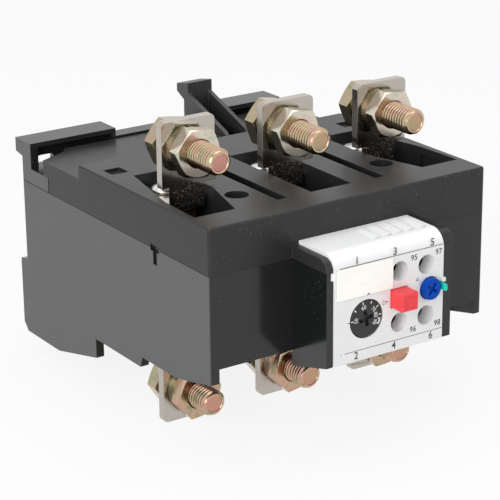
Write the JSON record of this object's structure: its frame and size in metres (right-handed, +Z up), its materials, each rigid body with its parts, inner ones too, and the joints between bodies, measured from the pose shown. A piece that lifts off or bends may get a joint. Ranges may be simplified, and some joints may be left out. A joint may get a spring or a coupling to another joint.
{
  "type": "thermal overload relay",
  "caption": "Motor overload relay with bolted bus bar lugs above and below a black two-part housing, and a white front module with dial, buttons and clamp terminals.",
  "frame": {"origin": "centre of the rear face of the lower mounting step", "axes": "+Z up, the setting module faces -Y, +Y points into the mounting plate, +X to the right seen from the front"},
  "size_m": [0.12, 0.1661, 0.1151],
  "materials": {
    "base_black": "moulded, lightly grained",
    "cover_black": "moulded, lightly grained",
    "hook_black": "moulded",
    "case_black": "smooth moulded",
    "cap_white": "fine satin",
    "label_cream": "smooth",
    "dial_black": "satin with pale printed scale",
    "cam_natural": "natural moulding",
    "button_red": "satin",
    "plunger_natural": "natural moulding",
    "knob_blue": "satin",
    "flag_teal": "satin",
    "spring_steel": "drawn wire",
    "aux_black": "moulded",
    "aux_plated": "plated",
    "bar_nickel": "nickel plated copper, satin",
    "bolt_zinc": "yellow passivated zinc plate",
    "nut_zinc": "yellow passivated zinc plate",
    "washer_zinc": "yellow passivated zinc plate",
    "screw_plated": "bright zinc plate",
    "block_brown": "phenolic moulding",
    "heater_strip": "heat tinted strip",
    "bimetal_strip": "rolled strip",
    "slider_natural": "natural moulding",
    "contact_brown": "phenolic moulding",
    "bridge_silver": "silver tipped brass"
  },
  "bodies": {
    "housing": {"base_housing": "base_black", "top_cover": "cover_black", "rear_hook": "hook_black", "module_case": "case_black", "front_cap": "cap_white", "label_plate": "label_cream", "test_spring": "spring_steel", "reset_spring": "spring_steel", "aux_block_upper": "aux_black", "aux_block_lower": "aux_black", "aux_screws": "screw_plated", "aux_clamps": "aux_plated", "contact_block": "contact_brown", "cover_screws": "screw_plated", "bar_screws": "screw_plated", "line_bolts": "bolt_zinc", "load_bolts": "bolt_zinc", "line_nuts": "nut_zinc", "load_nuts": "nut_zinc", "line_washers": "washer_zinc", "load_washers": "washer_zinc", "line_lock_washers": "washer_zinc", "load_lock_washers": "washer_zinc", "line_bar_1": "bar_nickel", "load_bar_1": "bar_nickel", "pole_block_1": "block_brown", "heater_1": "heater_strip", "bimetal_1": "bimetal_strip", "line_bar_2": "bar_nickel", "load_bar_2": "bar_nickel", "pole_block_2": "block_brown", "heater_2": "heater_strip", "bimetal_2": "bimetal_strip", "line_bar_3": "bar_nickel", "load_bar_3": "bar_nickel", "pole_block_3": "block_brown", "heater_3": "heater_strip", "bimetal_3": "bimetal_strip"},
    "dial": {"setting_dial": "dial_black", "setting_cam": "cam_natural"},
    "test": {"test_button": "button_red"},
    "reset": {"reset_plunger": "plunger_natural"},
    "knob": {"reset_knob": "knob_blue"},
    "indicator": {"trip_indicator": "flag_teal"},
    "slider": {"trip_slider": "slider_natural"},
    "lever": {"trip_lever": "slider_natural"},
    "carriage": {"contact_carriage": "slider_natural", "contact_bridges": "bridge_silver"}
  },
  "joints": [
    {"name": "setting_dial_turn", "type": "hinge", "parent": "housing", "child": "dial", "pos_m": [-0.0097, -0.1585, 0.0277], "axis": [0, 1, 0], "range_deg": [-110, 90]},
    {"name": "test_button_press", "type": "slide", "parent": "housing", "child": "test", "axis": [0, 1, 0], "range_m": [0, 0.003], "stiffness_N_per_m": 300, "springref_m": -0.002, "deforming": ["test_spring"]},
    {"name": "reset_press", "type": "slide", "parent": "housing", "child": "reset", "axis": [0, 1, 0], "range_m": [0, 0.001], "stiffness_N_per_m": 300, "springref_m": -0.002, "deforming": ["reset_spring"]},
    {"name": "reset_mode_turn", "type": "hinge", "parent": "reset", "child": "knob", "pos_m": [0.0179, -0.1585, 0.033], "axis": [0, 1, 0], "range_deg": [0, 75]},
    {"name": "trip_indicator_slide", "type": "slide", "parent": "housing", "child": "indicator", "axis": [0, 1, 0], "range_m": [0, 0.0028], "stiffness_N_per_m": 60, "springref_m": -0.002},
    {"name": "trip_slide", "type": "slide", "parent": "housing", "child": "slider", "axis": [1, 0, 0], "range_m": [0, 0.003], "stiffness_N_per_m": 300, "springref_m": -0.002},
    {"name": "trip_lever_turn", "type": "hinge", "parent": "housing", "child": "lever", "pos_m": [0.0255, -0.0975, 0.0444], "axis": [0, 0, 1], "range_deg": [-5.7, 0]},
    {"name": "contact_slide", "type": "slide", "parent": "housing", "child": "carriage", "axis": [1, 0, 0], "range_m": [-0.0033, 0]}
  ],
  "couplings": [
    {"joint": "trip_lever_turn", "follows": "trip_slide", "rad_per_m": -32.258},
    {"joint": "contact_slide", "follows": "trip_slide", "ratio": -1.0484}
  ]
}
